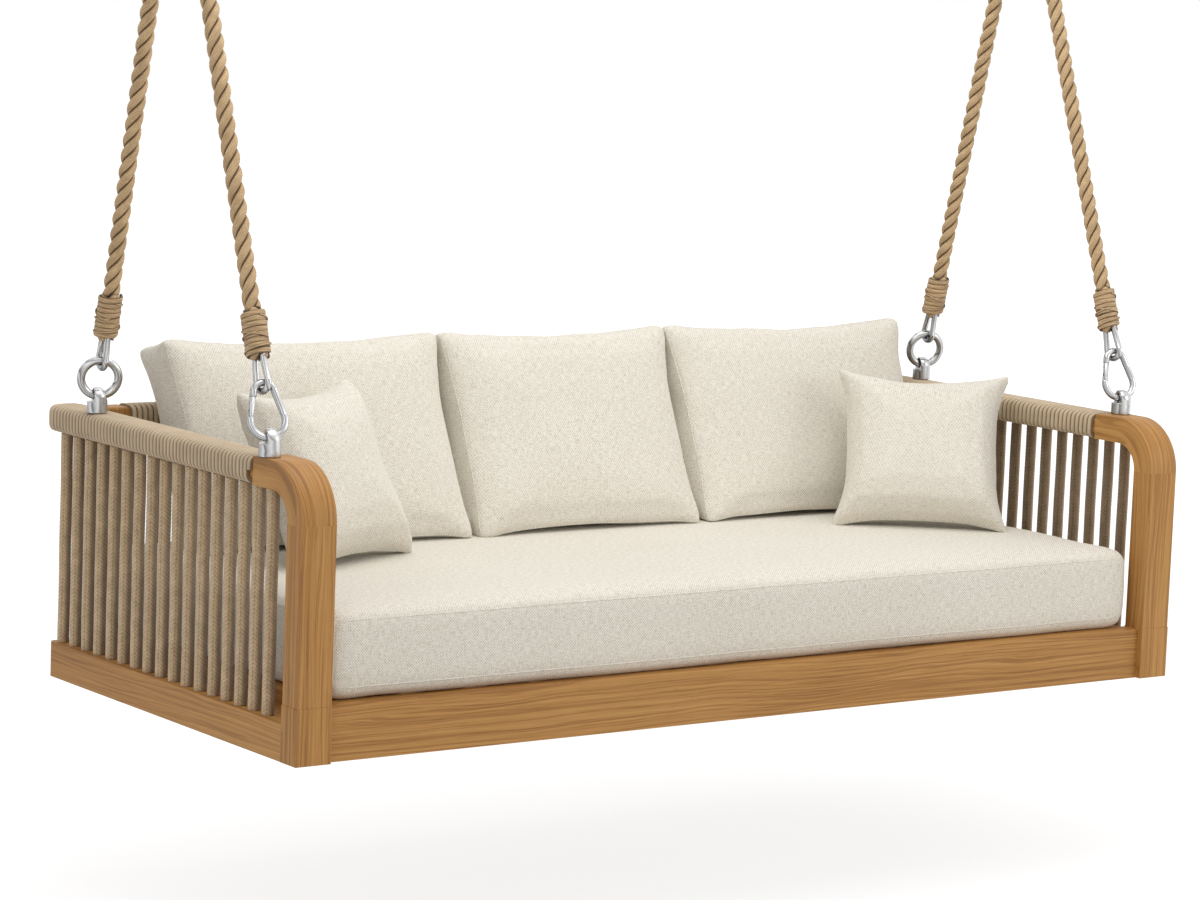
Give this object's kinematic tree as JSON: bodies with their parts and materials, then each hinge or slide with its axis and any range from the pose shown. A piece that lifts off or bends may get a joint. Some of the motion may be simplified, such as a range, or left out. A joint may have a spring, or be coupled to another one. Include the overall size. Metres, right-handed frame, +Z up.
{
  "type": "hanging swing bed",
  "caption": "Hanging daybed: teak base and rounded arms wound with cord, upright cord sides and back, loose cushions, hung from the ceiling on thick rope with rings and carabiners.",
  "frame": {"origin": "on the ceiling, midway between the two ceiling plates", "axes": "+X along the bed to the right as seen from its front, +Y to the bed's back, +Z up"},
  "size_m": [2.246, 1.029, 1.88],
  "materials": {
    "teak": "fine-grained honey teak, sanded and oiled",
    "winding_cord": "beige cord wound close round arms and back rail",
    "upright_cord": "taupe braided cord",
    "carrying_rope": "tan three-strand rope",
    "whipping_cord": "tan cord wound round the rope ends",
    "stainless": "satin stainless steel",
    "linen": "ecru linen in a fine basket weave"
  },
  "bodies": {
    "ceiling": {"left_ceiling_plate": "stainless", "right_ceiling_plate": "stainless", "hanger_pins": "stainless"},
    "hanger_eyes": {"left_hanger_eye": "stainless", "right_hanger_eye": "stainless"},
    "left_ropes": {"left_rope_saddle": "stainless", "left_rope": "carrying_rope", "front_left_rope_end": "carrying_rope", "rear_left_rope_end": "carrying_rope", "front_left_whipping": "whipping_cord", "rear_left_whipping": "whipping_cord", "front_left_link": "stainless", "rear_left_link": "stainless", "rear_left_ring": "stainless", "left_carabiner": "stainless"},
    "right_ropes": {"right_rope_saddle": "stainless", "right_rope": "carrying_rope", "front_right_rope_end": "carrying_rope", "rear_right_rope_end": "carrying_rope", "front_right_whipping": "whipping_cord", "rear_right_whipping": "whipping_cord", "front_right_link": "stainless", "rear_right_link": "stainless", "rear_right_ring": "stainless", "right_carabiner": "stainless"},
    "left_gate": {"left_gate": "stainless"},
    "right_gate": {"right_gate": "stainless"},
    "bed": {"front_left_eye": "stainless", "rear_left_eye": "stainless", "front_right_eye": "stainless", "rear_right_eye": "stainless", "front_left_block": "teak", "front_right_block": "teak", "front_left_post": "teak", "front_right_post": "teak", "left_elbow": "teak", "right_elbow": "teak", "left_arm": "teak", "right_arm": "teak", "left_arm_winding": "winding_cord", "right_arm_winding": "winding_cord", "rear_left_post": "teak", "rear_right_post": "teak", "back_top_rail": "teak", "back_rail_winding": "winding_cord", "left_cords": "upright_cord", "right_cords": "upright_cord", "back_cords": "upright_cord", "front_rail": "teak", "back_rail": "teak", "left_side_rail": "teak", "right_side_rail": "teak", "slat_deck": "teak", "frame_dowels": "teak", "seat_cushion": "linen", "back_cushion_left": "linen", "back_cushion_middle": "linen", "back_cushion_right": "linen", "toss_pillow_left": "linen", "toss_pillow_right": "linen"}
  },
  "joints": [
    {"name": "swing_pivot", "type": "hinge", "parent": "ceiling", "child": "hanger_eyes", "pos_m": [0, 0, -0.048], "axis": [1, 0, 0], "range_deg": [-20, 20]},
    {"name": "left_rope_sway", "type": "hinge", "parent": "hanger_eyes", "child": "left_ropes", "pos_m": [-1.078, 0, -0.21], "axis": [0, 1, 0], "range_deg": [-8, 8]},
    {"name": "right_rope_sway", "type": "hinge", "parent": "hanger_eyes", "child": "right_ropes", "pos_m": [1.078, 0, -0.21], "axis": [0, 1, 0], "range_deg": [-8, 8]},
    {"name": "bed_sway", "type": "hinge", "parent": "left_ropes", "child": "bed", "pos_m": [-1.078, 0, -1.284], "axis": [0, 1, 0], "range_deg": [-8, 8]},
    {"name": "left_gate_pivot", "type": "hinge", "parent": "left_ropes", "child": "left_gate", "pos_m": [-1.10656, -0.37254, -1.24071], "axis": [0.309, 0.9008, -0.3051], "range_deg": [0, 24], "stiffness_Nm_per_rad": 0.5, "springref_deg": -11.46},
    {"name": "right_gate_pivot", "type": "hinge", "parent": "right_ropes", "child": "right_gate", "pos_m": [1.04944, -0.37254, -1.24071], "axis": [0.309, 0.9008, -0.3051], "range_deg": [0, 24], "stiffness_Nm_per_rad": 0.5, "springref_deg": -11.46}
  ],
  "couplings": [
    {"joint": "right_rope_sway", "follows": "left_rope_sway", "ratio": 1},
    {"joint": "bed_sway", "follows": "left_rope_sway", "ratio": -1}
  ]
}
